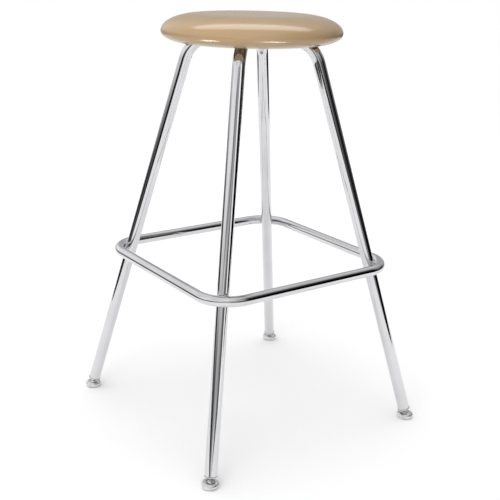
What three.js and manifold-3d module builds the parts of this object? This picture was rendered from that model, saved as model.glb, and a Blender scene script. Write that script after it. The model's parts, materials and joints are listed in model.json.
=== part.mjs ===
// Four-legged work stool: moulded round seat, bent tube legs, square foot ring and ball-jointed glides.
// Millimetres, +Z up, origin on the floor below the middle of the seat. The legs stand on the diagonals.
import * as THREE from 'three';
import { mergeVertices } from 'three/addons/utils/BufferGeometryUtils.js';
import Module from 'manifold-3d';

const wasm = await Module();
wasm.setup();

// Overall sizes
const seatHeight = 774; // floor to the top of the seat
const seatRadius = 165; // widest part of the seat
const footRadius = 326.6; // middle of a glide from the stool's axis
const gap = 0.3; // air between pieces that touch
const cutPast = 1.5; // how far a cutting shape runs past the face it opens

// Seat shell
const crownDepth = 31; // top of the seat down to its widest part
const crownFlatRadius = 94; // flat middle of the top
const underDepth = 20; // widest part down to the lowest part
const underRadius = 118; // where the rolled edge is lowest
const lipRadius = 128; // mouth of the hollow underneath
const seatWall = 4;
const ribCount = 8;
const ribWidth = 3;
const ribRingRadius = 96;
const bossWall = 5.6; // round a screw
const bossReach = 52; // screws from the stool's axis

// Leg tubes and the plate they are welded to
const legTube = 22.2; // outside diameter
const legWall = 1.25;
const bendRadius = 57; // tube centreline
const kneeRadius = 112.8; // where the straight leg and the level run would meet
const seatToRun = 43; // top of the seat down to the level runs' centreline
const runEndRadius = 26;
const ventDiameter = 6;
const ventTurn = Math.PI / 18; // vent's place round the bend, from its lower end
const plateMargin = 13; // screws in from the plate's edge
const plateThickness = 3;
const plateCorner = 14;

// Screws that hold the seat
const screwDiameter = 4.8;
const screwLength = 20;
const screwHeadRadius = 4.6;
const screwHeadHeight = 3;
const screwHeadRounding = 1.8;
const washerOverhang = 1.9; // past the screw's head
const washerThickness = 1.2;

// Foot ring
const ringTube = 19.05; // outside diameter
const ringWall = 1.25;
const ringHeight = 316; // centreline above the floor
const ringCornerRadius = 59; // centreline
const ringVentDiameter = 4;

// Glides
const sheet = 1.2; // pressed steel of the base and cap
const ballRadius = 5.5;
const ballFloorGap = 0.8; // between the ball and the base's floor
const neckRadius = 2.5;
const neckLength = 0.5;
const neckTaper = 1;
const stemRadius = 3.175;
const stemShowing = 4; // from the top of the ball up to the collar
const collarLip = 0.9; // past the leg tube
const collarThickness = 3;
const collarTaper = 2; // how much narrower the collar is at its foot
const collarTaperHeight = 1.2;
const plugLength = 16;
const rivetRadius = 5;
const rivetHeight = 1.5;
const chamfer = 1;
const socketWall = 1.8;
const socketTop = 2.7; // above the ball's centre
const socketBottom = -3.6;
const cushionFloorGap = 0.4;
const cushionSideGap = 2.1;
const cushionRecess = 0.7; // socket's edges past the cushion's
const cushionCrest = 1.6; // width of the cushion's top
const baseRadius = 15.5;
const baseEdgeRadius = 4; // between the base's floor and its side
const rimBelowBall = 1; // where base and cap meet
const capAboveBall = 3.5;

// Facets
const tubeSides = 16;
const ringSides = 12;
const bendSteps = 8;
const cornerSteps = 7;
const seatSides = 36;
const glideSides = 14;
const rimSides = 18;

// Worked out from the sizes above
const waistHeight = seatHeight - crownDepth;
const runHeight = seatHeight - seatToRun;
const legRadius = legTube / 2;
const ringRadius = ringTube / 2;
const screwRadius = screwDiameter / 2;
const bossRadius = screwRadius + bossWall;
const plateSide = 2 * (bossReach + plateMargin);
const ballHeight = ballRadius + ballFloorGap + sheet;
const ballToCollar = ballRadius + stemShowing;
const socketOuterRadius = ballRadius + gap + socketWall;
const baseFlatRadius = baseRadius - baseEdgeRadius;
const cushionRadius = baseRadius - sheet - cushionSideGap;
const splay = Math.atan2(footRadius - kneeRadius, runHeight - ballHeight);
const plateBottom = runHeight + legRadius + gap;
const plateTop = plateBottom + plateThickness;
const tubeEndFromBall = ballToCollar + collarThickness + gap;
const corners = {
  front_left: -0.75 * Math.PI,
  front_right: -0.25 * Math.PI,
  rear_right: 0.25 * Math.PI,
  rear_left: 0.75 * Math.PI,
};

const chrome = new THREE.MeshStandardMaterial({ color: 0xdfe1e4, roughness: 0.08, metalness: 1 });
const nickel = new THREE.MeshStandardMaterial({ color: 0xc6c5c0, roughness: 0.25, metalness: 1 });
const zinc = new THREE.MeshStandardMaterial({ color: 0xb4b7ba, roughness: 0.4, metalness: 1 });
const plateSteel = new THREE.MeshStandardMaterial({ color: 0xa9acb0, roughness: 0.35, metalness: 1 });
const tanPlastic = new THREE.MeshStandardMaterial({ color: 0xc2a67f, roughness: 0.35, metalness: 0 });
const nylon = new THREE.MeshStandardMaterial({ color: 0xd9d6cc, roughness: 0.45, metalness: 0 });
const rubber = new THREE.MeshStandardMaterial({ color: 0x1c1c1d, roughness: 0.8, metalness: 0 });

const stool = new THREE.Group();
stool.name = 'stool';

// A path given as stations, each a place and a direction, so that its steps sit where it bends.
class StationCurve extends THREE.Curve {
  constructor(stations) {
    super();
    this.stations = stations;
  }

  station(t) {
    return this.stations[Math.round(t * (this.stations.length - 1))];
  }

  getPoint(t) {
    return this.station(t).place.clone();
  }

  getPointAt(u) {
    return this.getPoint(u);
  }

  getTangent(t) {
    return this.station(t).direction.clone();
  }

  getTangentAt(u) {
    return this.getTangent(u);
  }
}

function bare(geometry) {
  const plain = geometry.index ? geometry.toNonIndexed() : geometry.clone();
  plain.deleteAttribute('normal');
  plain.deleteAttribute('uv');
  return mergeVertices(plain, 1e-4);
}

function toSolid(geometry) {
  const merged = bare(geometry);
  const vertProperties = new Float32Array(merged.attributes.position.array);
  const triVerts = new Uint32Array(merged.index.array);
  return new wasm.Manifold(new wasm.Mesh({ numProp: 3, vertProperties, triVerts }));
}

function toGeometry(solid) {
  const mesh = solid.getMesh();
  const geometry = new THREE.BufferGeometry();
  geometry.setAttribute('position', new THREE.BufferAttribute(mesh.vertProperties, 3));
  geometry.setIndex(new THREE.BufferAttribute(mesh.triVerts, 1));
  geometry.computeVertexNormals();
  return geometry;
}

// Turns an outline of [radius, height] pairs about the vertical axis, going up its outside.
function turned(outline, sides) {
  const points = outline.map(([radius, height]) => new THREE.Vector2(radius, height));
  return new THREE.LatheGeometry(points, sides).rotateX(Math.PI / 2);
}

// The same for a ring, whose outline closes on itself.
function turnedRing(outline, sides) {
  return turned([...outline, outline[0]], sides);
}

// Points of an ellipse's arc about [radius, height].
function arc(centre, across, up, from, to, steps) {
  return Array.from({ length: steps + 1 }, (_, i) => {
    const angle = from + ((to - from) * i) / steps;
    return [centre[0] + across * Math.cos(angle), centre[1] + up * Math.sin(angle)];
  });
}

function upright(radius, bottom, top, sides) {
  const geometry = new THREE.CylinderGeometry(radius, radius, top - bottom, sides);
  return geometry.rotateX(Math.PI / 2).translate(0, 0, (top + bottom) / 2);
}

function add(parent, name, geometry, material) {
  const mesh = new THREE.Mesh(geometry, material);
  mesh.name = name;
  parent.add(mesh);
  return mesh;
}

// Seat: a hollow moulding with ribs underneath and a boss for each screw
function screwPlaces() {
  return [0, 1, 2, 3].map((quarter) => {
    const angle = (quarter * Math.PI) / 2;
    return new THREE.Vector3(bossReach * Math.cos(angle), bossReach * Math.sin(angle), 0);
  });
}

function seatOutline(inset) {
  const crown = seatRadius - crownFlatRadius - inset;
  const roll = seatRadius - underRadius - inset;
  const lipAngle = -Math.acos((lipRadius - underRadius) / roll);
  const steps = inset > 0 ? 5 : 8;
  return [
    ...arc([underRadius, waistHeight], roll, underDepth - inset, lipAngle, 0, steps),
    ...arc([crownFlatRadius, waistHeight], crown, crownDepth - inset, 0, Math.PI / 2, steps).slice(1),
  ];
}

function seatShell() {
  const outside = seatOutline(0);
  const inside = seatOutline(seatWall);
  const below = outside[0][1] - cutPast;
  const outer = toSolid(turned([[0, outside[0][1]], ...outside, [0, seatHeight]], seatSides));
  const hollow = turned([[0, below], [lipRadius, below], ...inside, [0, seatHeight - seatWall]], seatSides);
  const floor = plateTop + gap;
  const ceiling = seatHeight - seatWall / 2;
  const reach = seatRadius - seatWall / 2;
  const half = ribWidth / 2;
  const ringOutline = [
    [ribRingRadius - half, floor],
    [ribRingRadius + half, floor],
    [ribRingRadius + half, ceiling],
    [ribRingRadius - half, ceiling],
  ];
  let webs = toSolid(turnedRing(ringOutline, seatSides));
  for (let i = 0; i < ribCount / 2; i += 1) {
    const rib = new THREE.BoxGeometry(2 * reach, ribWidth, ceiling - floor);
    rib.translate(0, 0, (ceiling + floor) / 2).rotateZ((i * 2 * Math.PI) / ribCount);
    webs = webs.add(toSolid(rib));
  }
  for (const place of screwPlaces()) {
    const boss = upright(bossRadius, floor, ceiling, tubeSides).translate(place.x, place.y, 0);
    webs = webs.add(toSolid(boss));
  }
  let shell = outer.subtract(toSolid(hollow)).add(webs.intersect(outer));
  for (const place of screwPlaces()) {
    const pilotTop = plateBottom + screwLength + 2 * gap;
    const pilot = upright(screwRadius + gap, floor - cutPast, pilotTop, ringSides);
    shell = shell.subtract(toSolid(pilot.translate(place.x, place.y, 0)));
  }
  return toGeometry(shell);
}

// Seat plate: a square of steel that lies on the four level runs
function seatPlate() {
  const half = plateSide / 2;
  const outline = new THREE.Shape();
  const reach = half - plateCorner;
  outline.absarc(reach, reach, plateCorner, 0, Math.PI / 2);
  outline.absarc(-reach, reach, plateCorner, Math.PI / 2, Math.PI);
  outline.absarc(-reach, -reach, plateCorner, Math.PI, 1.5 * Math.PI);
  outline.absarc(reach, -reach, plateCorner, 1.5 * Math.PI, 2 * Math.PI);
  for (const place of screwPlaces()) {
    const hole = new THREE.Path();
    hole.absarc(place.x, place.y, screwRadius + 2 * gap, 0, 2 * Math.PI, true);
    outline.holes.push(hole);
  }
  const plate = new THREE.ExtrudeGeometry(outline, {
    depth: plateThickness,
    bevelEnabled: false,
    curveSegments: 4,
  });
  return bare(plate.translate(0, 0, plateBottom));
}

function screw() {
  const headTop = plateBottom - washerThickness - 2 * gap;
  const headBottom = headTop - screwHeadHeight;
  const tip = plateBottom + screwLength;
  return turned([
    [0, headBottom],
    [screwHeadRadius - screwHeadRounding, headBottom],
    [screwHeadRadius, headTop - screwHeadHeight / 2],
    [screwHeadRadius, headTop],
    [screwRadius, headTop],
    [screwRadius, tip - screwRadius],
    [0, tip],
  ], ringSides);
}

function washer() {
  const inner = screwRadius + gap;
  const outer = screwHeadRadius + washerOverhang;
  const top = plateBottom - gap;
  return turnedRing([
    [inner, top - washerThickness],
    [outer, top - washerThickness],
    [outer, top],
    [inner, top],
  ], tubeSides);
}

// Leg: one bent tube in the X-Z plane, from above its glide, up the splay and level to the middle
function legStations() {
  const up = new THREE.Vector3(-Math.sin(splay), 0, Math.cos(splay));
  const level = new THREE.Vector3(-1, 0, 0);
  const turn = Math.PI / 2 - splay;
  const tangentLength = bendRadius * Math.tan(turn / 2);
  const ball = new THREE.Vector3(footRadius, 0, ballHeight);
  const bendCentre = new THREE.Vector3(kneeRadius - tangentLength, 0, runHeight - bendRadius);
  const stations = [{ place: ball.addScaledVector(up, tubeEndFromBall), direction: up }];
  for (let i = 0; i <= bendSteps; i += 1) {
    const angle = splay + (turn * i) / bendSteps;
    const out = new THREE.Vector3(Math.cos(angle), 0, Math.sin(angle));
    const place = bendCentre.clone().addScaledVector(out, bendRadius);
    stations.push({ place, direction: new THREE.Vector3(-Math.sin(angle), 0, Math.cos(angle)) });
  }
  stations.push({ place: new THREE.Vector3(runEndRadius, 0, runHeight), direction: level });
  return { stations, bendCentre };
}

function leg() {
  const { stations, bendCentre } = legStations();
  const section = new THREE.Shape();
  section.absarc(0, 0, legRadius, 0, 2 * Math.PI);
  const bore = new THREE.Path();
  bore.absarc(0, 0, legRadius - legWall, 0, 2 * Math.PI, true);
  section.holes.push(bore);
  const tube = new THREE.ExtrudeGeometry(section, {
    steps: stations.length - 1,
    extrudePath: new StationCurve(stations),
    curveSegments: tubeSides / 2,
  });
  const vent = new THREE.CylinderGeometry(ventDiameter / 2, ventDiameter / 2, legRadius, 8);
  vent.rotateZ(Math.PI / 2).translate(bendRadius - legRadius, 0, 0).rotateY(-splay - ventTurn);
  vent.translate(bendCentre.x, 0, bendCentre.z);
  return toGeometry(toSolid(tube).subtract(toSolid(vent)));
}

// Foot ring: a hollow tube bent into a square that goes round the outside of the legs
function legRadiusAt(height) {
  return footRadius - (height - ballHeight) * Math.tan(splay);
}

function ringStations() {
  const diagonal = legRadiusAt(ringHeight) + (legRadius + ringRadius + gap) / Math.cos(splay);
  const reach = (diagonal - ringCornerRadius) / Math.SQRT2;
  const stations = [];
  for (let corner = 0; corner < 4; corner += 1) {
    const middle = Math.PI / 4 + (corner * Math.PI) / 2;
    const centreX = reach * Math.SQRT2 * Math.cos(middle);
    const centreY = reach * Math.SQRT2 * Math.sin(middle);
    for (let i = 0; i <= cornerSteps; i += 1) {
      const angle = middle + (Math.PI / 2) * (i / cornerSteps - 0.5);
      stations.push({
        place: new THREE.Vector3(
          centreX + ringCornerRadius * Math.cos(angle),
          centreY + ringCornerRadius * Math.sin(angle),
          ringHeight,
        ),
        direction: new THREE.Vector3(-Math.sin(angle), Math.cos(angle), 0),
      });
    }
  }
  return { stations: [...stations, stations[0]], side: reach + ringCornerRadius };
}

function footRing() {
  const { stations, side } = ringStations();
  const path = new StationCurve(stations);
  const steps = stations.length - 1;
  const outer = toSolid(new THREE.TubeGeometry(path, steps, ringRadius, ringSides, true));
  const bore = toSolid(new THREE.TubeGeometry(path, steps, ringRadius - ringWall, ringSides, true));
  const vent = upright(ringVentDiameter / 2, ringHeight - ringTube, ringHeight, 8).translate(0, side, 0);
  return toGeometry(outer.subtract(bore).subtract(toSolid(vent)));
}

// Glide pieces stand about the ball's centre. The stem's own pieces lean with the leg.
function collarPlug() {
  const bore = stemRadius + gap;
  const plug = legRadius - legWall - gap;
  const collar = legRadius + collarLip;
  const shoulder = ballToCollar + collarThickness;
  const plugTop = shoulder + plugLength;
  return turnedRing([
    [bore, ballToCollar],
    [collar - collarTaper, ballToCollar],
    [collar, ballToCollar + collarTaperHeight],
    [collar, shoulder],
    [plug, shoulder],
    [plug, plugTop - chamfer],
    [plug - chamfer, plugTop],
    [bore, plugTop],
  ], glideSides);
}

function ballStud() {
  const neckAngle = Math.acos(neckRadius / ballRadius);
  const rivetBottom = ballToCollar + collarThickness + plugLength + gap;
  return turned([
    ...arc([0, 0], ballRadius, ballRadius, -Math.PI / 2, neckAngle, 6).map(([r, z], i) => [i ? r : 0, z]),
    [neckRadius, ballRadius + neckLength],
    [stemRadius, ballRadius + neckLength + neckTaper],
    [stemRadius, rivetBottom],
    [rivetRadius, rivetBottom],
    [rivetRadius - chamfer, rivetBottom + rivetHeight],
    [0, rivetBottom + rivetHeight],
  ], ringSides);
}

function ballSocket() {
  const inner = ballRadius + gap;
  const outer = socketOuterRadius;
  return turnedRing([
    ...arc([0, 0], outer, outer, Math.asin(socketBottom / outer), Math.asin(socketTop / outer), 4),
    ...arc([0, 0], inner, inner, Math.asin(socketTop / inner), Math.asin(socketBottom / inner), 4),
  ], glideSides);
}

// Height of the cap's underside above the ball's centre
function capUnderside(radius) {
  const across = baseRadius - socketOuterRadius - sheet;
  const rim = gap - rimBelowBall;
  const rise = capAboveBall - rim - sheet;
  return rim + rise * Math.sqrt(1 - ((radius - socketOuterRadius) / across) ** 2);
}

function cushion() {
  const inner = socketOuterRadius + gap;
  const bottom = sheet + cushionFloorGap - ballHeight;
  const innerBottom = socketBottom - cushionRecess;
  const innerTop = socketTop - cushionRecess;
  const crest = inner + cushionCrest;
  return turnedRing([
    [Math.sqrt(inner * inner - innerBottom * innerBottom), bottom],
    [baseFlatRadius, bottom],
    [cushionRadius, bottom + cushionRadius - baseFlatRadius + gap],
    [cushionRadius, capUnderside(cushionRadius) - 3 * gap],
    [crest, capUnderside(crest) - 2 * gap],
    ...arc([0, 0], inner, inner, Math.asin(innerTop / inner), Math.asin(innerBottom / inner), 4),
  ], glideSides);
}

function glideBase() {
  const floor = -ballHeight;
  const edge = floor + baseEdgeRadius;
  return turned([
    [0, floor],
    ...arc([baseFlatRadius, edge], baseEdgeRadius, baseEdgeRadius, -Math.PI / 2, 0, 3),
    [baseRadius, -rimBelowBall],
    [baseRadius - sheet, -rimBelowBall],
    [baseRadius - sheet, edge],
    [baseFlatRadius, floor + sheet],
    [0, floor + sheet],
  ], rimSides);
}

function glideCap() {
  const centre = [socketOuterRadius, gap - rimBelowBall];
  const across = baseRadius - socketOuterRadius;
  const rise = capAboveBall - centre[1];
  const outside = arc(centre, across, rise, 0, Math.PI / 2, 4);
  const inside = arc(centre, across - sheet, rise - sheet, Math.PI / 2, 0, 4);
  return turnedRing([...outside, ...inside], rimSides);
}

add(stool, 'seat_shell', seatShell(), tanPlastic);
add(stool, 'seat_plate', seatPlate(), plateSteel);
add(stool, 'foot_ring', footRing(), chrome);

screwPlaces().forEach((place, i) => {
  const side = ['right', 'rear', 'left', 'front'][i];
  add(stool, `seat_screw_${side}`, screw(), zinc).position.copy(place);
  add(stool, `seat_washer_${side}`, washer(), zinc).position.copy(place);
});

for (const [corner, angle] of Object.entries(corners)) {
  add(stool, `leg_${corner}`, leg(), chrome).rotation.z = angle;

  const foot = new THREE.Group();
  foot.position.set(footRadius * Math.cos(angle), footRadius * Math.sin(angle), ballHeight);
  foot.rotation.z = angle;
  stool.add(foot);

  const stem = new THREE.Group();
  stem.rotation.y = -splay;
  foot.add(stem);
  add(stem, `glide_collar_${corner}`, collarPlug(), zinc);
  add(stem, `glide_stud_${corner}`, ballStud(), zinc);
  add(foot, `glide_socket_${corner}`, ballSocket(), nylon);
  add(foot, `glide_cushion_${corner}`, cushion(), rubber);
  add(foot, `glide_base_${corner}`, glideBase(), nickel);
  add(foot, `glide_cap_${corner}`, glideCap(), nickel);
}

export default stool;
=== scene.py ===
import json
import math
import bmesh
import bpy
from mathutils import Matrix, Vector


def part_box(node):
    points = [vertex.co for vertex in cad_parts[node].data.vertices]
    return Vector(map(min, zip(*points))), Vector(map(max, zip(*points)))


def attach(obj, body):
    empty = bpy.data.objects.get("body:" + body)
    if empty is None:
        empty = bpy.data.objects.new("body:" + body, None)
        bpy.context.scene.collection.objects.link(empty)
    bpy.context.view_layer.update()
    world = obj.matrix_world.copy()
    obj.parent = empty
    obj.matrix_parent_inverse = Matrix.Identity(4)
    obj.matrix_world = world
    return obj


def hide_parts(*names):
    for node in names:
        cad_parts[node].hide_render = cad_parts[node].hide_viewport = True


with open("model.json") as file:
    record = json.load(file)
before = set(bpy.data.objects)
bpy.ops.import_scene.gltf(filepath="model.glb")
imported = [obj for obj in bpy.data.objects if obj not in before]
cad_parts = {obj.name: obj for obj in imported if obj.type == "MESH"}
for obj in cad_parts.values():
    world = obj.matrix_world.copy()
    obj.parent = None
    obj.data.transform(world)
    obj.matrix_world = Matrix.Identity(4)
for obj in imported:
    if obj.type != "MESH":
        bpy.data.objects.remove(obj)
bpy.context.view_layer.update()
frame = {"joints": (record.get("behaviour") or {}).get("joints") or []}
print("frame loaded")

fullTurn = 2 * math.pi
gap = 0.0003  # air between pieces that touch
corners = {"front_left": -135, "front_right": -45, "rear_right": 45, "rear_left": 135}
joints = {joint["name"]: joint for joint in frame["joints"]}


# an output of a shader node, so that sums on it add maths nodes
class Wire:
    def __init__(self, graph, socket):
        self.graph = graph
        self.socket = socket

    def maths(self, operation, first, second):
        return self.graph.add("ShaderNodeMath", {"operation": operation}, {0: first, 1: second})

    def __add__(self, other):
        return self.maths("ADD", self, other)

    def __radd__(self, other):
        return self.maths("ADD", other, self)

    def __sub__(self, other):
        return self.maths("SUBTRACT", self, other)

    def __rsub__(self, other):
        return self.maths("SUBTRACT", other, self)

    def __mul__(self, other):
        return self.maths("MULTIPLY", self, other)

    def __rmul__(self, other):
        return self.maths("MULTIPLY", other, self)

    def __truediv__(self, other):
        return self.maths("DIVIDE", self, other)


# a node tree that nodes are added to with their settings and inputs
class Graph:
    def __init__(self, tree):
        self.nodes = tree.nodes
        self.links = tree.links

    def add(self, kind, settings=None, values=None, output=0):
        node = self.nodes.new(kind)
        for name, value in (settings or {}).items():
            if name == "stops":
                self.setStops(node.color_ramp, value)
            else:
                setattr(node, name, value)
        for name, value in (values or {}).items():
            self.feed(node.inputs[name], value)
        return Wire(self, node.outputs[output])

    def setStops(self, ramp, stops):
        while len(ramp.elements) < len(stops):
            ramp.elements.new(1.0)
        for element, (position, level) in zip(ramp.elements, stops):
            element.position = position
            element.color = (level, level, level, 1)

    def feed(self, socket, value):
        if isinstance(value, Wire):
            self.links.new(value.socket, socket)
        else:
            socket.default_value = value

    # brings start to low and end to high, and holds those values beyond
    def spread(self, wire, low, high, start=0.0, end=1.0):
        inputs = {"Value": wire, "From Min": start, "From Max": end, "To Min": low, "To Max": high}
        return self.add("ShaderNodeMapRange", {"clamp": True}, inputs)


# a material whose surface follows the piece it is on
class Finish(Graph):
    def __init__(self, name):
        self.material = bpy.data.materials.new(name)
        self.material.use_nodes = True
        super().__init__(self.material.node_tree)
        self.shader = self.nodes["Principled BSDF"]

    def set(self, **values):
        for name, value in values.items():
            self.feed(self.shader.inputs[name.replace("_", " ")], value)

    def place(self):
        return self.add("ShaderNodeTexCoord", output="Object")

    def noise(self, kind):
        scale, detail, roughness = kind
        inputs = {"Vector": self.place(), "Scale": scale, "Detail": detail, "Roughness": roughness}
        return self.add("ShaderNodeTexNoise", values=inputs, output="Fac")

    def blend(self, factor, first, second):
        inputs = {0: factor, 6: first, 7: second}
        return self.add("ShaderNodeMix", {"data_type": "RGBA"}, inputs, output=2)

    def bump(self, height, strength, distance):
        inputs = {"Height": height, "Strength": strength, "Distance": distance}
        self.feed(self.shader.inputs["Normal"], self.add("ShaderNodeBump", values=inputs))


# in every look a noise is given as its scale, detail and roughness
chromeLook = {
    "colour": (0.70, 0.70, 0.715, 1.0),
    "hazeColour": (0.64, 0.64, 0.655, 1.0),
    "polish": 0.03,
    "dull": 0.09,
    "haze": (14.0, 6.0, 0.6),
    "hazeFrom": 0.45,
    "hazeTo": 0.75,
    "wipes": (220.0, 3.0, 0.5),
    "wipeShare": 0.25,
    "ripple": (55.0, 2.0, 0.4),
    "rippleStrength": 0.25,
    "rippleDepth": 0.00002,
}


def chromePlate():
    look = chromeLook
    finish = Finish("chromePlate")
    haze = finish.noise(look["haze"])
    wiped = finish.noise(look["wipes"])
    cloud = finish.spread(haze, 0.0, 1.0, look["hazeFrom"], look["hazeTo"])
    finish.set(
        Base_Color=finish.blend(cloud, look["colour"], look["hazeColour"]),
        Metallic=1.0,
        Roughness=finish.spread(cloud + look["wipeShare"] * wiped, look["polish"], look["dull"]),
    )
    finish.bump(finish.noise(look["ripple"]), look["rippleStrength"], look["rippleDepth"])
    return finish.material


seatLook = {
    "colour": (0.385, 0.263, 0.146, 1.0),
    "pale": (0.405, 0.280, 0.158, 1.0),
    "worn": (0.45, 0.335, 0.21, 1.0),
    "gloss": 0.17,
    "dull": 0.22,
    "dullFrom": 0.3,
    "shine": 0.35,
    "flow": (9.0, 5.0, 0.55),
    "flowFrom": 0.35,
    "flowTo": 0.7,
    "fleck": (260.0, 2.0, 0.5),
    "leastFleck": 0.3,
    "scuffs": (38.0, 8.0, 0.7),
    "scuffFrom": 0.62,
    "scuffTo": 0.8,
    "scuffShare": 0.35,
    "grain": (900.0, 2.0, 0.5),
    "grainStrength": 0.35,
    "grainDepth": 0.00004,
}


def seatPlastic():
    look = seatLook
    finish = Finish("seatPlastic")
    flow = finish.noise(look["flow"])
    fleck = finish.noise(look["fleck"])
    streaks = finish.spread(flow, 0.0, 1.0, look["flowFrom"], look["flowTo"])
    body = finish.blend(streaks, look["colour"], look["pale"])
    rubbed = finish.noise(look["scuffs"])
    scuffs = finish.spread(rubbed, 0.0, look["scuffShare"], look["scuffFrom"], look["scuffTo"])
    grain = finish.noise(look["grain"])
    finish.set(
        Base_Color=finish.blend(scuffs * finish.spread(fleck, look["leastFleck"], 1.0), body, look["worn"]),
        Roughness=finish.spread(flow + scuffs, look["gloss"], look["dull"], look["dullFrom"], 1.0),
        Specular_IOR_Level=look["shine"],
    )
    finish.bump(grain, look["grainStrength"], look["grainDepth"])
    return finish.material


# each metal: its name, its clean and tarnished colours, how rough it is where polished and where dull,
# and the scale of its clouds
metalLooks = {
    "plate": ("dullPlate", (0.55, 0.56, 0.58, 1), (0.42, 0.43, 0.45, 1), 0.22, 0.42, 30.0),
    "zinc": ("zincPlate", (0.72, 0.73, 0.75, 1), (0.55, 0.55, 0.56, 1), 0.16, 0.34, 90.0),
    "nickel": ("nickelPlate", (0.82, 0.82, 0.82, 1), (0.62, 0.62, 0.62, 1), 0.08, 0.24, 110.0),
    "weld": ("weldPlate", (0.70, 0.71, 0.73, 1), (0.50, 0.50, 0.51, 1), 0.10, 0.3, 240.0),
}

# stains and grit: the detail and roughness of their noises, whose scales come from each metal's own
metalSurface = {
    "stains": (6.0, 0.6),
    "grit": (2.0, 0.5),
    "cloudFrom": 0.38,
    "cloudTo": 0.68,
    "gritFiner": 30,
    "gritShare": 0.3,
    "gritStrength": 0.3,
    "gritDepth": 0.00003,
}


def platedSteel(name, colour, tarnish, polish, dull, scale):
    look = metalSurface
    finish = Finish(name)
    stains = finish.noise((scale, *look["stains"]))
    cloud = finish.spread(stains, 0.0, 1.0, look["cloudFrom"], look["cloudTo"])
    grit = finish.noise((scale * look["gritFiner"], *look["grit"]))
    worn = cloud + look["gritShare"] * grit
    finish.set(
        Base_Color=finish.blend(cloud, colour, tarnish),
        Metallic=1.0,
        Roughness=finish.spread(worn, polish, dull, 0.0, 1 + look["gritShare"]),
    )
    finish.bump(grit, look["gritStrength"], look["gritDepth"])
    return finish.material


nylonLook = {
    "name": "nylonMoulding",
    "colour": (0.68, 0.66, 0.60, 1.0),
    "pale": (0.78, 0.76, 0.70, 1.0),
    "gloss": 0.38,
    "dull": 0.55,
    "cloud": (160.0, 4.0, 0.5),
    "cloudFrom": 0.0,
    "cloudTo": 1.0,
    "grain": (1500.0, 2.0, 0.5),
    "grainStrength": 0.3,
    "grainDepth": 0.00004,
}

rubberLook = {
    "name": "rubberMoulding",
    "colour": (0.018, 0.018, 0.019, 1.0),
    "pale": (0.07, 0.068, 0.064, 1.0),
    "gloss": 0.62,
    "dull": 0.9,
    "cloud": (240.0, 6.0, 0.65),
    "cloudFrom": 0.45,
    "cloudTo": 0.8,
    "grain": (2200.0, 2.0, 0.5),
    "grainStrength": 0.4,
    "grainDepth": 0.00005,
}


def moulding(look):
    finish = Finish(look["name"])
    cloud = finish.spread(finish.noise(look["cloud"]), 0.0, 1.0, look["cloudFrom"], look["cloudTo"])
    finish.set(
        Base_Color=finish.blend(cloud, look["colour"], look["pale"]),
        Roughness=finish.spread(cloud, look["gloss"], look["dull"]),
    )
    finish.bump(finish.noise(look["grain"]), look["grainStrength"], look["grainDepth"])
    return finish.material


materials = {
    "chrome": chromePlate(),
    "seat": seatPlastic(),
    "nylon": moulding(nylonLook),
    "rubber": moulding(rubberLook),
}
for slotName, look in metalLooks.items():
    materials[slotName] = platedSteel(*look)
print("finishes made")


def asObject(name, bm, material, sharp=40):
    bmesh.ops.remove_doubles(bm, verts=bm.verts, dist=1e-6)
    bmesh.ops.recalc_face_normals(bm, faces=bm.faces)
    for face in bm.faces:
        face.smooth = True
    for edge in bm.edges:
        edge.smooth = edge.calc_face_angle(0.0) < math.radians(sharp)
    mesh = bpy.data.meshes.new(name)
    bm.to_mesh(mesh)
    bm.free()
    piece = bpy.data.objects.new(name, mesh)
    bpy.context.scene.collection.objects.link(piece)
    mesh.materials.append(materials[material])
    return piece


# gives a piece its body, and hides the plain shapes that it stands in for
def settle(piece, body, slotName, *nodes):
    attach(piece, body)
    if nodes:
        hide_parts(*nodes)
    return piece


# points on part of an ellipse, as (radius, height)
def arc(centre, across, rise, start, end, steps):
    angles = [start + (end - start) * i / steps for i in range(steps + 1)]
    return [(centre[0] + across * math.cos(a), centre[1] + rise * math.sin(a)) for a in angles]


# turns an outline of (radius, height) about the vertical axis
def turned(outline, segments, closed=False):
    bm = bmesh.new()
    verts = [bm.verts.new((radius, 0, height)) for radius, height in outline]
    pairs = list(zip(verts, verts[1:]))
    if closed:
        pairs.append((verts[-1], verts[0]))
    edges = [bm.edges.new(pair) for pair in pairs]
    bmesh.ops.spin(bm, geom=verts + edges, cent=(0, 0, 0), axis=(0, 0, 1), angle=fullTurn,
                   steps=segments, use_merge=True)
    bmesh.ops.remove_doubles(bm, verts=bm.verts, dist=1e-6)
    return bm


longestCut = 0.45  # share of a side that a rounded corner may take


# rounds an outline's corners with short arcs made of a few points
def rounded(outline, radius, steps=3, closed=True):
    points = [Vector(point) for point in outline]
    result = []
    for i, point in enumerate(points):
        if not closed and i in (0, len(points) - 1):
            result.append(tuple(point))
            continue
        before = points[i - 1] - point
        after = points[(i + 1) % len(points)] - point
        cut = min(radius, before.length * longestCut, after.length * longestCut)
        start = point + before.normalized() * cut
        end = point + after.normalized() * cut
        for step in range(steps + 1):
            t = step / steps
            result.append(tuple((1 - t) ** 2 * start + 2 * t * (1 - t) * point + t * t * end))
    return result


# joins a piece with a cutter by a boolean, and removes the cutter
def cutWith(piece, cutter, operation):
    modifier = piece.modifiers.new("cut", "BOOLEAN")
    modifier.operation = operation
    modifier.object = cutter
    modifier.solver = "EXACT"
    modifier.use_self = True
    evaluated = piece.evaluated_get(bpy.context.evaluated_depsgraph_get())
    result = bpy.data.meshes.new_from_object(evaluated)
    piece.modifiers.clear()
    piece.data = result
    bpy.data.objects.remove(cutter)


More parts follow.
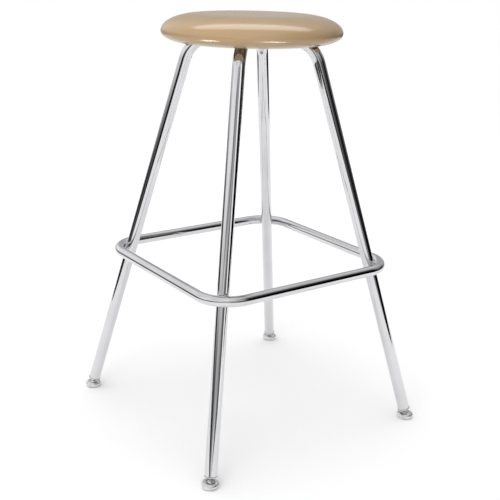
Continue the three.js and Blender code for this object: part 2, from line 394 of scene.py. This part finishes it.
seat = {
    "crownDepth": 0.031,
    "crownFlat": 0.094,
    "underDepth": 0.020,
    "underRadius": 0.118,
    "lipRadius": 0.128,
    "wall": 0.004,
    "segments": 160,
    "ribs": 8,
    "ribWidth": 0.0026,
    "ribInset": 0.0064,
    "bossRadius": 0.008,
    "bossTaper": 1.12,
    "bossReach": 0.052,
    "bossSides": 40,
    "lipRound": 0.0012,
    "trimSides": 96,
}


# the seat's outline from its lip out and up to the flat of the crown, at a depth below the surface
def seatHalf(inset, steps):
    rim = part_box("seat_shell")[1]
    waist = rim.z - seat["crownDepth"]
    crown = rim.x - seat["crownFlat"] - inset
    roll = rim.x - seat["underRadius"] - inset
    lipAngle = -math.acos((seat["lipRadius"] - seat["underRadius"]) / roll)
    lower = arc((seat["underRadius"], waist), roll, seat["underDepth"] - inset, lipAngle, 0, steps)
    upper = arc((seat["crownFlat"], waist), crown, seat["crownDepth"] - inset, 0, math.pi / 2, steps)
    return lower + upper[1:]


def seatShell():
    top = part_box("seat_shell")[1].z
    outside = seatHalf(0, steps=24)
    inside = seatHalf(seat["wall"], steps=14)
    lip = rounded([inside[1], inside[0], outside[0], outside[1]], seat["lipRound"], steps=4, closed=False)
    outline = [(0, top), *outside[:1:-1], *lip[::-1], *inside[2:], (0, top - seat["wall"])]
    return asObject("seatShell", turned(outline, seat["segments"]), "seat", sharp=50)


# the ribs and screw bosses that hang from the crown, before they are trimmed
def seatWebs():
    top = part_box("seat_shell")[1].z - seat["wall"] / 2
    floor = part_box("seat_plate")[1].z + gap
    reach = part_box("seat_shell")[1].x - seat["ribInset"]
    height = top - floor
    bm = bmesh.new()
    for i in range(seat["ribs"] // 2):
        turn = Matrix.Rotation(fullTurn * i / seat["ribs"], 4, "Z")
        lift = Matrix.Translation((0, 0, floor + height / 2))
        size = Matrix.Diagonal((2 * reach, seat["ribWidth"], height, 1))
        bmesh.ops.create_cube(bm, size=1, matrix=turn @ lift @ size)
    for i in range(4):
        angle = fullTurn * i / 4
        x, y = seat["bossReach"] * math.cos(angle), seat["bossReach"] * math.sin(angle)
        place = Matrix.Translation((x, y, floor + height / 2))
        bmesh.ops.create_cone(bm, cap_ends=True, segments=seat["bossSides"], radius1=seat["bossRadius"],
                              radius2=seat["bossRadius"] * seat["bossTaper"], depth=height, matrix=place)
    return bm


def seatRibs():
    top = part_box("seat_shell")[1].z - seat["wall"] / 2
    piece = asObject("seatRibs", seatWebs(), "seat", sharp=30)
    outside = seatHalf(seat["wall"] / 2, steps=16)
    envelope = [(0, outside[0][1]), *outside, (0, top)]
    cutWith(piece, asObject("seatEnvelope", turned(envelope, seat["trimSides"]), "seat"), "INTERSECT")
    for face in piece.data.polygons:
        face.use_smooth = False
    return piece


settle(seatShell(), "frame", "seat_plastic", "seat_shell")
settle(seatRibs(), "frame", "seat_plastic", "seat_shell")
print("seat made")


tube = {
    "legRadius": 0.0111,
    "legWall": 0.00125,
    "bendRadius": 0.057,
    "kneeRadius": 0.1128,
    "bendSteps": 28,
    "sides": 48,
    "runEnd": 0.026,
    "ventRadius": 0.003,
    "ventDepth": 0.00666,
    "ventTurn": math.radians(10),
    "ventSides": 32,
    "ringVentRadius": 0.002,
    "ringVentDepth": 0.003,
    "footEnd": 0.0128,
    "ringRadius": 0.009525,
    "ringCorner": 0.059,
    "ringCornerSteps": 24,
    "ringSides": 40,
    "straightSteps": 6,
}

ball = Vector(joints["glide_lean_rear_right"]["pos_m"])
footRadius = math.hypot(ball.x, ball.y)
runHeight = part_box("seat_plate")[0].z - gap - tube["legRadius"]
splay = math.atan2(footRadius - tube["kneeRadius"], runHeight - ball.z)
upLeg = Vector((-math.sin(splay), 0, math.cos(splay)))


# a tube's section, square to a direction
def circle(bm, radius, centre, direction, segments):
    turn = direction.to_track_quat("Z", "Y").to_matrix().to_4x4()
    place = Matrix.Translation(centre) @ turn
    made = bmesh.ops.create_circle(bm, radius=radius, segments=segments, matrix=place)
    return list({edge for vert in made["verts"] for edge in vert.link_edges})


# carries a section straight on
def pushed(bm, edges, step):
    made = bmesh.ops.extrude_edge_only(bm, edges=edges)["geom"]
    verts = [item for item in made if isinstance(item, bmesh.types.BMVert)]
    bmesh.ops.translate(bm, verts=verts, vec=step)
    return [item for item in made if isinstance(item, bmesh.types.BMEdge)
            and all(vert in verts for vert in item.verts)]


# carries a section round a bend
def swung(bm, edges, centre, axis, angle, steps):
    verts = list({vert for edge in edges for vert in edge.verts})
    made = bmesh.ops.spin(bm, geom=verts + edges, cent=centre, axis=axis, angle=angle, steps=steps)
    return [item for item in made["geom_last"] if isinstance(item, bmesh.types.BMEdge)]


# a blind hole's cutter, from a place on a surface along a direction
def drill(place, direction, radius, depth):
    bm = bmesh.new()
    turn = direction.to_track_quat("Z", "Y").to_matrix().to_4x4()
    bmesh.ops.create_cone(bm, cap_ends=True, segments=tube["ventSides"], radius1=radius, radius2=radius,
                          depth=2 * depth, matrix=Matrix.Translation(place) @ turn)
    return asObject("drill", bm, "chrome")


# made along +X from its foot up, hollow, then turned to its own corner
def legTube(corner, angle):
    turn = math.pi / 2 - splay
    tangent = tube["bendRadius"] * math.tan(turn / 2)
    foot = Vector((footRadius, 0, ball.z)) + upLeg * tube["footEnd"]
    bendStart = Vector((tube["kneeRadius"], 0, runHeight)) - upLeg * tangent
    bendCentre = Vector((tube["kneeRadius"] - tangent, 0, runHeight - tube["bendRadius"]))
    runEnd = Vector((tube["runEnd"] - bendCentre.x, 0, 0))
    bm = bmesh.new()
    ends = []
    for radius in (tube["legRadius"], tube["legRadius"] - tube["legWall"]):
        first = circle(bm, radius, foot, upLeg, tube["sides"])
        edges = first
        for i in range(tube["straightSteps"]):
            edges = pushed(bm, edges, (bendStart - foot) / tube["straightSteps"])
        edges = swung(bm, edges, bendCentre, (0, -1, 0), turn, tube["bendSteps"])
        edges = pushed(bm, edges, runEnd)
        ends.append((first, edges))
    bmesh.ops.bridge_loops(bm, edges=ends[0][0] + ends[1][0])
    bmesh.ops.bridge_loops(bm, edges=ends[0][1] + ends[1][1])
    piece = asObject("legTube_" + corner, bm, "chrome")
    ventAngle = splay + tube["ventTurn"]
    outward = Vector((math.cos(ventAngle), 0, math.sin(ventAngle)))
    ventPlace = bendCentre + outward * (tube["bendRadius"] - tube["legRadius"])
    cutWith(piece, drill(ventPlace, outward, tube["ventRadius"], tube["ventDepth"]), "DIFFERENCE")
    piece.data.transform(Matrix.Rotation(math.radians(angle), 4, "Z"))
    return piece


def footRing():
    low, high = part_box("foot_ring")
    side = high.x - tube["ringRadius"]
    reach = side - tube["ringCorner"]
    height = (low.z + high.z) / 2
    bm = bmesh.new()
    start = Vector((side, -reach, height))
    edges = circle(bm, tube["ringRadius"], start, Vector((0, 1, 0)), tube["ringSides"])
    for quarter in range(4):
        turn = Matrix.Rotation(fullTurn * quarter / 4, 3, "Z")
        for i in range(tube["straightSteps"]):
            edges = pushed(bm, edges, turn @ Vector((0, 2 * reach / tube["straightSteps"], 0)))
        centre = turn @ Vector((reach, reach, height))
        edges = swung(bm, edges, centre, (0, 0, 1), fullTurn / 4, tube["ringCornerSteps"])
    piece = asObject("footRing", bm, "chrome")
    place, down = Vector((0, side, low.z)), Vector((0, 0, -1))
    cutWith(piece, drill(place, down, tube["ringVentRadius"], tube["ringVentDepth"]), "DIFFERENCE")
    return piece


for corner, angle in corners.items():
    settle(legTube(corner, angle), "frame", "chrome_tube", "leg_" + corner)
settle(footRing(), "frame", "chrome_tube", "foot_ring")
print("legs and foot ring made")


weld = {
    "radius": 0.0016,
    "ripple": 0.12,
    "rippleLength": 0.0016,
    "sides": 14,
    "ringReach": 0.0072,
    "ringRise": 0.0052,
    "plateStart": 0.031,
    "plateEnd": 0.060,
    "plateSide": 0.0056,
    "plateDrop": 0.0011,
    "ringSteps": 120,
    "plateSteps": 90,
    "endSize": 0.35,
}


# a bead laid along a path of places, rippled and tapered at open ends
def weldBead(name, path, closed):
    bm = bmesh.new()
    loops = []
    length = sum((b - a).length for a, b in zip(path, path[1:]))
    travelled = 0
    for i, place in enumerate(path):
        after = path[(i + 1) % len(path)] if closed else path[min(i + 1, len(path) - 1)]
        before = path[i - 1] if closed or i else path[0]
        travelled += (place - before).length if i else 0
        swell = 1 + weld["ripple"] * math.sin(fullTurn * travelled / weld["rippleLength"])
        body = 1 if closed else math.sqrt(max(0, math.sin(math.pi * travelled / length)))
        taper = weld["endSize"] + (1 - weld["endSize"]) * body
        loops.append(circle(bm, weld["radius"] * swell * taper, place, after - before, weld["sides"]))
    for near, far in zip(loops, loops[1:]):
        bmesh.ops.bridge_loops(bm, edges=near + far)
    if closed:
        bmesh.ops.bridge_loops(bm, edges=loops[-1] + loops[0])
    else:
        bmesh.ops.holes_fill(bm, edges=loops[0] + loops[-1], sides=0)
    return asObject(name, bm, "weld", sharp=60)


# a closed bead round the patch where the ring rests on a leg
def ringWeld(corner, angle):
    low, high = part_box("foot_ring")
    ringHeight = (low.z + high.z) / 2
    across = footRadius - (ringHeight - ball.z) * math.tan(splay)
    outward = Vector((math.cos(splay), 0, math.sin(splay)))
    contact = Vector((across, 0, ringHeight)) + outward * tube["legRadius"]
    path = []
    for step in range(weld["ringSteps"]):
        around = fullTurn * step / weld["ringSteps"]
        side = weld["ringReach"] * math.cos(around)
        rise = weld["ringRise"] * math.sin(around)
        legSurface = -side ** 2 / (2 * tube["legRadius"])
        ringSurface = rise ** 2 / (2 * tube["ringRadius"]) - side ** 2 / (2 * tube["ringCorner"])
        path.append(contact + Vector((0, side, 0)) + upLeg * rise + outward * (legSurface + ringSurface) / 2)
    piece = weldBead("ringWeld_" + corner, path, True)
    piece.data.transform(Matrix.Rotation(math.radians(angle), 4, "Z"))
    return piece


def plateWeld(corner, angle, side):
    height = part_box("seat_plate")[0].z - weld["plateDrop"]
    across, steps = side * weld["plateSide"], weld["plateSteps"]
    run = weld["plateEnd"] - weld["plateStart"]
    path = [Vector((weld["plateStart"] + run * i / steps, across, height)) for i in range(steps + 1)]
    piece = weldBead("plateWeld_" + corner + ("_a" if side > 0 else "_b"), path, False)
    piece.data.transform(Matrix.Rotation(math.radians(angle), 4, "Z"))
    return piece


for corner, angle in corners.items():
    settle(ringWeld(corner, angle), "frame", "chrome_tube")
    for side in (1, -1):
        settle(plateWeld(corner, angle, side), "frame", "chrome_tube")
print("welds made")


fixing = {
    "plateCorner": 0.014,
    "plateEase": 0.0004,
    "holeRadius": 0.003,
    "radius": 0.0024,
    "length": 0.020,
    "headRadius": 0.0046,
    "headHeight": 0.003,
    "headRound": 0.0022,
    "threadPitch": 0.0016,
    "threadDepth": 0.0004,
    "recessWidth": 0.0010,
    "recessReach": 0.0052,
    "recessDepth": 0.0016,
    "washerRadius": 0.0065,
    "washerBore": 0.0027,
    "washerThickness": 0.0012,
    "washerRound": 0.0003,
    "washerSides": 48,
    "holeSides": 48,
    "holeDepth": 0.005,
    "screwSides": 40,
    "tipRadius": 0.0002,
    "threadFlat": 0.2,
    "recessTurn": math.radians(36),
}

screwTurns = {"right": 0, "rear": 90, "left": 180, "front": 270}


def screwPlace(turn):
    angle = math.radians(turn)
    return Vector((seat["bossReach"] * math.cos(angle), seat["bossReach"] * math.sin(angle), 0))


def seatPlate():
    low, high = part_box("seat_plate")
    bm = bmesh.new()
    size = Matrix.Diagonal((high.x - low.x, high.y - low.y, high.z - low.z, 1))
    bmesh.ops.create_cube(bm, size=1, matrix=Matrix.Translation((0, 0, (low.z + high.z) / 2)) @ size)
    upright = [edge for edge in bm.edges if abs(edge.verts[0].co.z - edge.verts[1].co.z) > 0.001]
    bmesh.ops.bevel(bm, geom=upright, offset=fixing["plateCorner"], segments=12, profile=0.5,
                    affect="EDGES", material=-1)
    rims = [edge for edge in bm.edges if any(abs(face.normal.z) > 0.9 for face in edge.link_faces)]
    bmesh.ops.bevel(bm, geom=rims, offset=fixing["plateEase"], segments=3, profile=0.5,
                    affect="EDGES", material=-1)
    piece = asObject("seatPlate", bm, "plate", sharp=50)
    holes = bmesh.new()
    for turn in screwTurns.values():
        place = screwPlace(turn) + Vector((0, 0, low.z))
        bmesh.ops.create_cone(holes, cap_ends=True, segments=fixing["holeSides"],
                              radius1=fixing["holeRadius"], radius2=fixing["holeRadius"],
                              depth=2 * fixing["holeDepth"], matrix=Matrix.Translation(place))
    cutWith(piece, asObject("holes", holes, "plate"), "DIFFERENCE")
    return piece


def seatScrew(side, turn):
    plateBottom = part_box("seat_plate")[0].z
    headTop = plateBottom - fixing["washerThickness"] - 2 * gap
    headBottom = headTop - fixing["headHeight"]
    tip = plateBottom + fixing["length"]
    radius = fixing["radius"]
    root = radius - fixing["threadDepth"]
    pitch = fixing["threadPitch"]
    flat = pitch * fixing["threadFlat"] / 2
    dome = arc((fixing["headRadius"] - fixing["headRound"], headBottom + fixing["headRound"]),
               fixing["headRound"], fixing["headRound"], -math.pi / 2, 0, steps=8)
    shank = [(radius, headTop)]
    height = plateBottom
    while height + pitch < tip - radius:
        valley = height + pitch / 2
        shank += [(root, valley - flat), (root, valley + flat), (radius, height + pitch)]
        height += pitch
    end = [(fixing["tipRadius"], tip), (0, tip)]
    outline = [(0, headBottom), *dome, (fixing["headRadius"], headTop), *shank, *end]
    piece = asObject("seatScrew_" + side, turned(outline, fixing["screwSides"]), "zinc", sharp=35)
    cross = bmesh.new()
    for quarter in (0, math.pi / 2):
        size = Matrix.Diagonal((fixing["recessReach"], fixing["recessWidth"], 2 * fixing["recessDepth"], 1))
        spin = Matrix.Rotation(quarter + fixing["recessTurn"], 4, "Z")
        bmesh.ops.create_cube(cross, size=1, matrix=Matrix.Translation((0, 0, headBottom)) @ spin @ size)
    cutWith(piece, asObject("recess", cross, "zinc"), "DIFFERENCE")
    piece.data.transform(Matrix.Translation(screwPlace(turn)))
    return piece


def seatWasher(side, turn):
    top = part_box("seat_plate")[0].z - gap
    bottom = top - fixing["washerThickness"]
    bore, rim = fixing["washerBore"], fixing["washerRadius"]
    outline = rounded([(bore, bottom), (rim, bottom), (rim, top), (bore, top)], fixing["washerRound"])
    disc = turned(outline, fixing["washerSides"], closed=True)
    piece = asObject("seatWasher_" + side, disc, "zinc", sharp=35)
    piece.data.transform(Matrix.Translation(screwPlace(turn)))
    return piece


settle(seatPlate(), "frame", "plate_steel", "seat_plate")
for side, turn in screwTurns.items():
    settle(seatScrew(side, turn), "frame", "zinc_hardware", "seat_screw_" + side)
    settle(seatWasher(side, turn), "frame", "zinc_hardware", "seat_washer_" + side)
print("seat plate and screws made")


glide = {
    "sides": 72,
    "sheet": 0.0012,
    "ballRadius": 0.0055,
    "neckRadius": 0.0025,
    "neckTop": 0.006,
    "stemRadius": 0.003175,
    "stemStart": 0.007,
    "collarStart": 0.0095,
    "collarRadius": 0.012,
    "collarThickness": 0.003,
    "collarTaper": 0.002,
    "collarTaperHeight": 0.0012,
    "plugRadius": 0.00955,
    "plugLength": 0.016,
    "rivetRadius": 0.005,
    "rivetHeight": 0.0015,
    "chamfer": 0.001,
    "socketOuter": 0.0076,
    "socketTop": 0.0027,
    "socketBottom": -0.0036,
    "cushionRadius": 0.0122,
    "cushionRecess": 0.0007,
    "cushionCrest": 0.0016,
    "cushionFloorGap": 0.0004,
    "baseRadius": 0.0155,
    "baseEdge": 0.004,
    "rimBelowBall": 0.001,
    "capTop": 0.0035,
    "crimpDrop": 0.0013,
    "crimpOut": 0.0004,
    "crimpGap": 0.00005,
    "crimpRound": 0.0003,
    "edgeRound": 0.0005,
}


# stands a glide piece made about its ball's centre at its own leg
def stood(piece, angle, leaning):
    place = Matrix.Rotation(math.radians(angle), 4, "Z") @ Matrix.Translation((footRadius, 0, ball.z))
    if leaning:
        place = place @ Matrix.Rotation(-splay, 4, "Y")
    piece.data.transform(place)
    return piece


def glideCollar(name):
    bore = glide["stemRadius"] + gap
    collar, start = glide["collarRadius"], glide["collarStart"]
    shoulder = start + glide["collarThickness"]
    plug, top = glide["plugRadius"], shoulder + glide["plugLength"]
    taperTop = start + glide["collarTaperHeight"]
    outline = [(bore, start), (collar - glide["collarTaper"], start), (collar, taperTop),
               (collar, shoulder), (plug, shoulder), (plug, top - glide["chamfer"]),
               (plug - glide["chamfer"], top), (bore, top)]
    outline = rounded(outline, glide["edgeRound"], steps=4)
    return asObject(name, turned(outline, glide["sides"], closed=True), "zinc", sharp=40)


def glideStud(name):
    radius, stem = glide["ballRadius"], glide["stemRadius"]
    neckAngle = math.acos(glide["neckRadius"] / radius)
    rivet = glide["collarStart"] + glide["collarThickness"] + glide["plugLength"] + gap
    head, ease, rise = glide["rivetRadius"], glide["chamfer"], glide["rivetHeight"]
    outline = [(0, -radius), *arc((0, 0), radius, radius, -math.pi / 2, neckAngle, steps=28)[1:],
               (glide["neckRadius"], glide["neckTop"]), (stem, glide["stemStart"]), (stem, rivet),
               (head, rivet), *arc((head - ease, rivet), ease, rise, 0, math.pi / 2, steps=6),
               (0, rivet + rise)]
    return asObject(name, turned(outline, glide["sides"]), "nickel", sharp=35)


def glideSocket(name):
    outer, inner = glide["socketOuter"], glide["ballRadius"] + gap
    low, high = glide["socketBottom"], glide["socketTop"]
    outline = [*arc((0, 0), outer, outer, math.asin(low / outer), math.asin(high / outer), steps=14),
               *arc((0, 0), inner, inner, math.asin(high / inner), math.asin(low / inner), steps=14)]
    return asObject(name, turned(outline, glide["sides"], closed=True), "nylon", sharp=35)


# height of the cap's inner face above the ball's centre
def capUnderside(radius):
    across = glide["baseRadius"] - glide["socketOuter"] - glide["sheet"]
    rim = gap - glide["rimBelowBall"]
    rise = glide["capTop"] - rim - glide["sheet"]
    return rim + rise * math.sqrt(1 - ((radius - glide["socketOuter"]) / across) ** 2)


def glideCushion(name):
    inner = glide["socketOuter"] + gap
    low = glide["socketBottom"] - glide["cushionRecess"]
    high = glide["socketTop"] - glide["cushionRecess"]
    bottom = glide["sheet"] + glide["cushionFloorGap"] - ball.z
    flat = glide["baseRadius"] - glide["baseEdge"]
    rim, crest = glide["cushionRadius"], inner + glide["cushionCrest"]
    edge = [(flat, bottom), (rim, bottom + rim - flat + gap),
            (rim, capUnderside(rim) - 3 * gap), (crest, capUnderside(crest) - 2 * gap)]
    hollow = arc((0, 0), inner, inner, math.asin(high / inner), math.asin(low / inner), steps=14)
    start = (math.sqrt(inner ** 2 - low ** 2), bottom)
    shoulders = rounded([start, *edge, hollow[0]], glide["edgeRound"], steps=4, closed=False)[1:-1]
    outline = [start, *shoulders, *hollow]
    return asObject(name, turned(outline, glide["sides"], closed=True), "rubber", sharp=50)


def glideBase(name):
    radius, wall, edge = glide["baseRadius"], glide["sheet"], glide["baseEdge"]
    floor, rim = -ball.z, -glide["rimBelowBall"]
    centre = (radius - edge, floor + edge)
    outside = arc(centre, edge, edge, -math.pi / 2, 0, steps=16)
    inside = arc(centre, edge - wall, edge - wall, 0, -math.pi / 2, steps=12)
    outline = [(0, floor), *outside, (radius, rim), (radius - wall, rim), *inside, (0, floor + wall)]
    return asObject(name, turned(outline, glide["sides"]), "nickel", sharp=45)


def glideCap(name):
    radius, wall = glide["baseRadius"], glide["sheet"]
    mouth, rim = glide["socketOuter"], gap - glide["rimBelowBall"]
    rise = glide["capTop"] - rim
    skirt = radius + glide["crimpOut"]
    outside = arc((mouth, rim), skirt - mouth, rise, 0, math.pi / 2, steps=20)
    inside = arc((mouth, rim), radius - wall - mouth, rise - wall, math.pi / 2, 0, steps=16)
    crimpEnd = rim - glide["crimpDrop"]
    grip = radius + glide["crimpGap"]
    crimp = [inside[-1], (grip, rim), (grip, crimpEnd), (skirt, crimpEnd), outside[0]]
    hem = rounded(crimp, glide["crimpRound"], steps=3, closed=False)[1:-1]
    outline = [*outside, *inside, *hem]
    return asObject(name, turned(outline, glide["sides"], closed=True), "nickel", sharp=45)


glideParts = [
    ("collar", glideCollar, "frame", True, "zinc_hardware"),
    ("stud", glideStud, "frame", True, "zinc_hardware"),
    ("socket", glideSocket, "socket_", False, "nylon"),
    ("cushion", glideCushion, "cushion_", False, "rubber"),
    ("base", glideBase, "base_", False, "nickel_glide"),
    ("cap", glideCap, "base_", False, "nickel_glide"),
]

for corner, angle in corners.items():
    for part, make, body, leaning, slotName in glideParts:
        piece = stood(make("glide_" + part + "_" + corner), angle, leaning)
        rider = body if body == "frame" else body + corner
        settle(piece, rider, slotName, "glide_" + part + "_" + corner)
print("glides made")


view = {
    "azimuth": -35.06,
    "distance": 1.673,
    "height": 0.869,
    "pitch": 17.97,
    "pan": 0.16,
    "roll": 1.2,
    "lens": 64.8,
    "sensor": 36,
}


def addCamera():
    data = bpy.data.cameras.new("camera")
    data.lens = view["lens"]
    data.sensor_width = view["sensor"]
    camera = bpy.data.objects.new("camera", data)
    bpy.context.scene.collection.objects.link(camera)
    turn = math.radians(view["azimuth"])
    x, y = math.sin(turn) * view["distance"], -math.cos(turn) * view["distance"]
    aim = Matrix.Rotation(turn - math.radians(view["pan"]), 4, "Z")
    tilt = Matrix.Rotation(math.radians(90 - view["pitch"]), 4, "X")
    spin = Matrix.Rotation(math.radians(view["roll"]), 4, "Z")
    camera.matrix_world = Matrix.Translation((x, y, view["height"])) @ aim @ tilt @ spin
    bpy.context.scene.camera = camera


# floor: its reach from the stool's axis to each side, as the camera faces it
# sides: brightness at heights above the horizon, in degrees, at turns to the right of straight ahead
# plateau and overlap: shares of the way to a neighbour where a side is at full strength, and where it ends
studio = {
    "floorLeft": 1.5,
    "floorRight": 1.8,
    "floorBehind": 3.0,
    "floorNear": 5.0,
    "floorColour": (0.9, 0.9, 0.9, 1.0),
    "floorRough": 0.9,
    "lowest": -10,
    "highest": 90,
    "plateau": 0.2,
    "overlap": 0.75,
    "sides": {
        0: [(-1, 0.5), (0, 0.9), (3, 0.5), (25, 0.45), (50, 0.8), (90, 0.85)],
        30: [(-1, 0.1), (1, 0.6), (4, 0.5), (25, 0.5), (45, 0.8), (90, 0.85)],
        65: [(-1, 0.0), (2, 0.08), (14, 0.15), (24, 0.4), (40, 0.5), (90, 0.85)],
        105: [(0, 0.0), (14, 0.0), (34, 0.03), (50, 0.3), (68, 0.7), (90, 0.85)],
        135: [(-3, 0.3), (0, 0.05), (9, 0.05), (16, 0.3), (26, 0.5), (40, 0.5), (90, 0.85)],
        160: [(-1, 0.1), (4, 0.3), (9, 0.15), (15, 0.5), (24, 0.4), (34, 0.8), (90, 0.85)],
        180: [(-1, 0.0), (1, 1.0), (6, 0.4), (13, 0.85), (18, 0.2), (25, 0.2), (29, 1.1), (90, 0.85)],
        -160: [(0, 0.1), (6, 0.5), (10, 0.6), (16, 0.25), (21, 1.1), (34, 0.9), (90, 0.85)],
        -135: [(-1, 0.0), (4, 0.1), (10, 0.7), (16, 1.1), (34, 0.8), (90, 0.85)],
        -110: [(-1, 0.1), (2, 0.3), (5, 0.9), (18, 1.1), (30, 0.95), (90, 0.85)],
        -80: [(-1, 0.0), (3, 0.25), (6, 0.6), (14, 1.0), (30, 0.8), (90, 0.85)],
        -45: [(-1, 0.3), (2, 0.8), (12, 1.1), (40, 0.9), (90, 0.85)],
    },
}

# the way the camera faces over the floor, and the way to its right
turnToCamera = math.radians(view["azimuth"])
right = Vector((math.cos(turnToCamera), math.sin(turnToCamera), 0))
ahead = Vector((-math.sin(turnToCamera), math.cos(turnToCamera), 0))
up = Vector((0, 0, 1))


def addFloor():
    bm = bmesh.new()
    bmesh.ops.create_grid(bm, x_segments=1, y_segments=1, size=0.5)
    width = studio["floorLeft"] + studio["floorRight"]
    depth = studio["floorNear"] + studio["floorBehind"]
    bmesh.ops.scale(bm, verts=bm.verts, vec=(width, depth, 1))
    middle = right * (width / 2 - studio["floorLeft"]) + ahead * (depth / 2 - studio["floorNear"])
    turn = Matrix.Rotation(turnToCamera, 4, "Z")
    bmesh.ops.transform(bm, verts=bm.verts, matrix=Matrix.Translation(middle) @ turn)
    finish = Finish("paleFloor")
    finish.set(Base_Color=studio["floorColour"], Roughness=studio["floorRough"], Specular_IOR_Level=0.0)
    materials["floor"] = finish.material
    asObject("floor", bm, "floor")


def linkLight(name, data, place, aim):
    light = bpy.data.objects.new(name, data)
    bpy.context.scene.collection.objects.link(light)
    light.location = place
    light.rotation_mode = "QUATERNION"
    light.rotation_quaternion = (Vector(aim) - Vector(place)).to_track_quat("-Z", "Y")
    light.visible_camera = False
    return light


# washes: wide soft light that no polished surface mirrors; softness is in degrees
# panels: light that only the named piece mirrors; place and aim are (right, ahead, up)
# gleams: low panels mirrored in the seat's rolled edge, at turns to the right of its nearest point
lamps = {
    "washes": {
        "ceiling": {"from": (0, 0, 1), "softness": 60, "power": 1.15},
        "key": {"from": (-0.35, -0.95, 0.2), "softness": 40, "power": 1.75},
    },
    "panels": {
        "shoulder": {
            "shape": "ELLIPSE",
            "place": (0, 0.36, 2.0),
            "aim": (0, 0, 0.77),
            "size": (2.2, 0.8),
            "power": 17,
            "piece": "seatShell",
        },
        "strip": {
            "shape": "RECTANGLE",
            "place": (1.35, -1.1, 0.75),
            "aim": (0, -0.2, 0.45),
            "size": (0.7, 1.5),
            "power": 3.4,
            "piece": "legTube_front_left",
        },
    },
    "gleams": {
        "leftGleam": {"turn": -42, "size": (0.2, 0.12), "power": 1.2},
        "rightGleam": {"turn": 20, "size": (0.26, 0.12), "power": 1.6},
    },
    "gleamRim": (0.15, 0.73),
    "gleamReach": 0.22,
    "gleamDrop": 0.42,
}


# turns (right, ahead, up) into a place or a direction
def inRoom(place):
    return right * place[0] + ahead * place[1] + up * place[2]


def addWash(name, wash):
    data = bpy.data.lights.new(name, "SUN")
    data.angle = math.radians(wash["softness"])
    data.energy = wash["power"]
    linkLight(name, data, inRoom(wash["from"]), (0, 0, 0)).visible_glossy = False


def addPanel(name, shape, place, aim, size, power, piece):
    data = bpy.data.lights.new(name, "AREA")
    data.shape = shape
    data.size, data.size_y = size
    data.energy = power
    light = linkLight(name, data, place, aim)
    light.visible_diffuse = False
    lit = bpy.data.collections.new(name + "Lit")
    lit.objects.link(bpy.data.objects[piece])
    light.light_linking.receiver_collection = lit


def addGleam(name, gleam):
    edge = math.radians(gleam["turn"])
    radius, height = lamps["gleamRim"]
    rim = inRoom((math.sin(edge) * radius, -math.cos(edge) * radius, height))
    away = inRoom((math.sin(2 * edge), -math.cos(2 * edge), 0)) * lamps["gleamReach"]
    place = rim + away - up * lamps["gleamDrop"]
    addPanel(name, "ELLIPSE", place, rim, gleam["size"], gleam["power"], "seatShell")


# what lies all round: each turn's column of brightness, blended into its neighbours', and plain white
# behind the stool where the camera looks straight at it
def addWorld():
    world = bpy.data.worlds.new("studio")
    bpy.context.scene.world = world
    world.use_nodes = True
    graph = Graph(world.node_tree)
    direction = graph.add("ShaderNodeTexCoord", output="Generated")
    facing = graph.add("ShaderNodeVectorRotate", {"rotation_type": "Z_AXIS"},
                       {"Vector": direction, "Angle": -turnToCamera})
    split = graph.add("ShaderNodeSeparateXYZ", values={"Vector": facing})
    x, y, z = (Wire(graph, output) for output in split.socket.node.outputs)
    rise = graph.add("ShaderNodeMath", {"operation": "ARCSINE"}, {0: z}) * (180 / math.pi)
    flat = graph.add("ShaderNodeMath", {"operation": "SQRT"}, {0: x * x + y * y + 1e-6})
    lowest = studio["lowest"]
    height = studio["highest"] - lowest
    share = graph.spread(rise, 0.0, 1.0, lowest, studio["highest"])
    total, weights = 0.0, 1e-4
    angles = sorted(studio["sides"])
    for i, angle in enumerate(angles):
        before = (angle - angles[i - 1]) % 360
        after = (angles[(i + 1) % len(angles)] - angle) % 360
        middle = math.radians(angle + (after - before) / 4)
        reach = math.radians((before + after) / 2) * studio["overlap"]
        near = (x * math.sin(middle) + y * math.cos(middle)) / flat
        weight = graph.spread(near, 0.0, 1.0, math.cos(reach), math.cos(reach * studio["plateau"]))
        stops = [((stop - lowest) / height, level) for stop, level in studio["sides"][angle]]
        level = graph.add("ShaderNodeValToRGB", {"stops": stops}, {"Fac": share})
        total = total + weight * level
        weights = weights + weight
    seen = graph.add("ShaderNodeLightPath", output="Is Camera Ray")
    lit = total / weights * (1 - seen) + seen
    graph.feed(graph.nodes["Background"].inputs["Color"], lit)


addCamera()
addFloor()
addWorld()
for name, wash in lamps["washes"].items():
    addWash(name, wash)
for name, panel in lamps["panels"].items():
    addPanel(name, panel["shape"], inRoom(panel["place"]), inRoom(panel["aim"]), panel["size"],
             panel["power"], panel["piece"])
for name, gleam in lamps["gleams"].items():
    addGleam(name, gleam)
bpy.context.scene.view_settings.view_transform = "Standard"
print("studio made")
